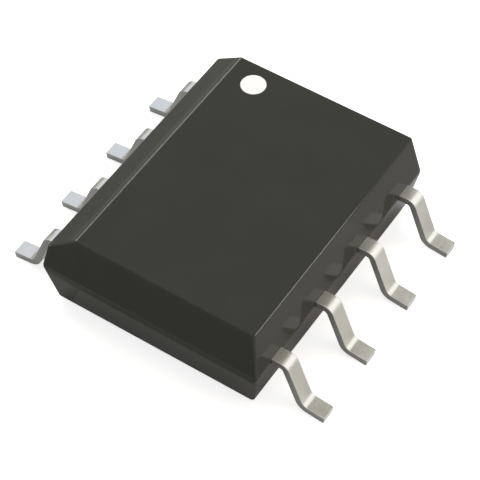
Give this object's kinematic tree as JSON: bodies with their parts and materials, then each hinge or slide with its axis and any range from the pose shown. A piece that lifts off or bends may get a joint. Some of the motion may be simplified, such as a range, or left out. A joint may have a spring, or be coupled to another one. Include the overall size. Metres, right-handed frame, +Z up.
{
  "type": "operational amplifier chip",
  "caption": "Small moulded surface-mount integrated circuit with gull-wing leads on its two long sides, a bevelled edge and a round dot at pin 1.",
  "frame": {"origin": "centre of the package's outline in plan, on the seating plane that the feet's soles touch", "axes": "+Z up, away from the board; +Y along the body's length towards the end with leads 1 and 8; +X across the leads, towards leads 5 to 8. Leads 1 to 4 run down the -X side from +Y to -Y, and leads 5 to 8 back up the +X side."},
  "size_m": [0.006, 0.005, 0.0018],
  "materials": {
    "epoxy": "satin moulding compound, charcoal grey",
    "ink": "matt white ink",
    "tin": "satin tin plating on a copper alloy sheet",
    "adhesive": "silver-filled epoxy",
    "silicon": "polished silicon",
    "gold": "bright gold wire"
  },
  "bodies": {
    "root": {"body": "epoxy", "pin_1_mark": "ink", "lead_1": "tin", "lead_2": "tin", "lead_3": "tin", "lead_4_and_die_pad": "tin", "lead_5": "tin", "lead_6": "tin", "lead_7": "tin", "lead_8": "tin", "die_attach": "adhesive", "die": "silicon", "wire_1": "gold", "wire_2": "gold", "wire_3": "gold", "wire_4": "gold", "wire_5": "gold", "wire_6": "gold", "wire_7": "gold", "wire_8": "gold"}
  },
  "joints": []
}
